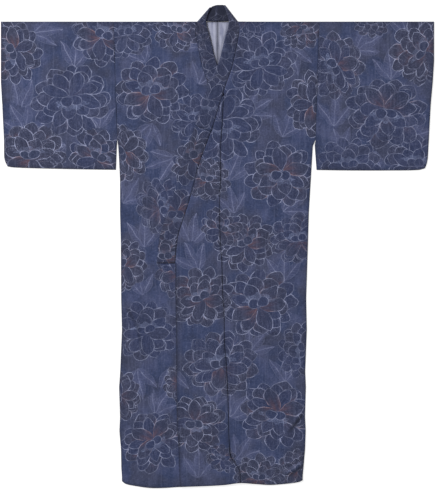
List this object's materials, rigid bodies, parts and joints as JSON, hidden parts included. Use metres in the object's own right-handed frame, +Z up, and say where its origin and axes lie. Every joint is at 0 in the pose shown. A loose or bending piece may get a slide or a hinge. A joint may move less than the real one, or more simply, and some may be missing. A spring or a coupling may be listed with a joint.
{
  "type": "cotton yukata robe",
  "caption": "Cotton yukata robe laid out flat, left front lapped over right, with square sleeves and a long collar band; navy cloth with an outlined flower and leaf print.",
  "frame": {"origin": "on the surface that the robe lies on, below the middle of its outline", "axes": "+Y from the hem to the collar, +X towards the viewer's right, which is the wearer's left sleeve, +Z up from the surface through the layers to the front"},
  "size_m": [1.364, 1.5215, 0.0119],
  "materials": {
    "printed_cotton": "plain-weave cotton, matt, navy ground with pale outlined flowers and leaves on the right side, pale grey-lilac wrong side"
  },
  "bodies": {
    "root": {"body_left": "printed_cotton", "body_right": "printed_cotton", "okumi_left": "printed_cotton", "okumi_right": "printed_cotton", "sleeve_left": "printed_cotton", "sleeve_right": "printed_cotton", "collar": "printed_cotton", "over_collar": "printed_cotton"}
  },
  "joints": []
}
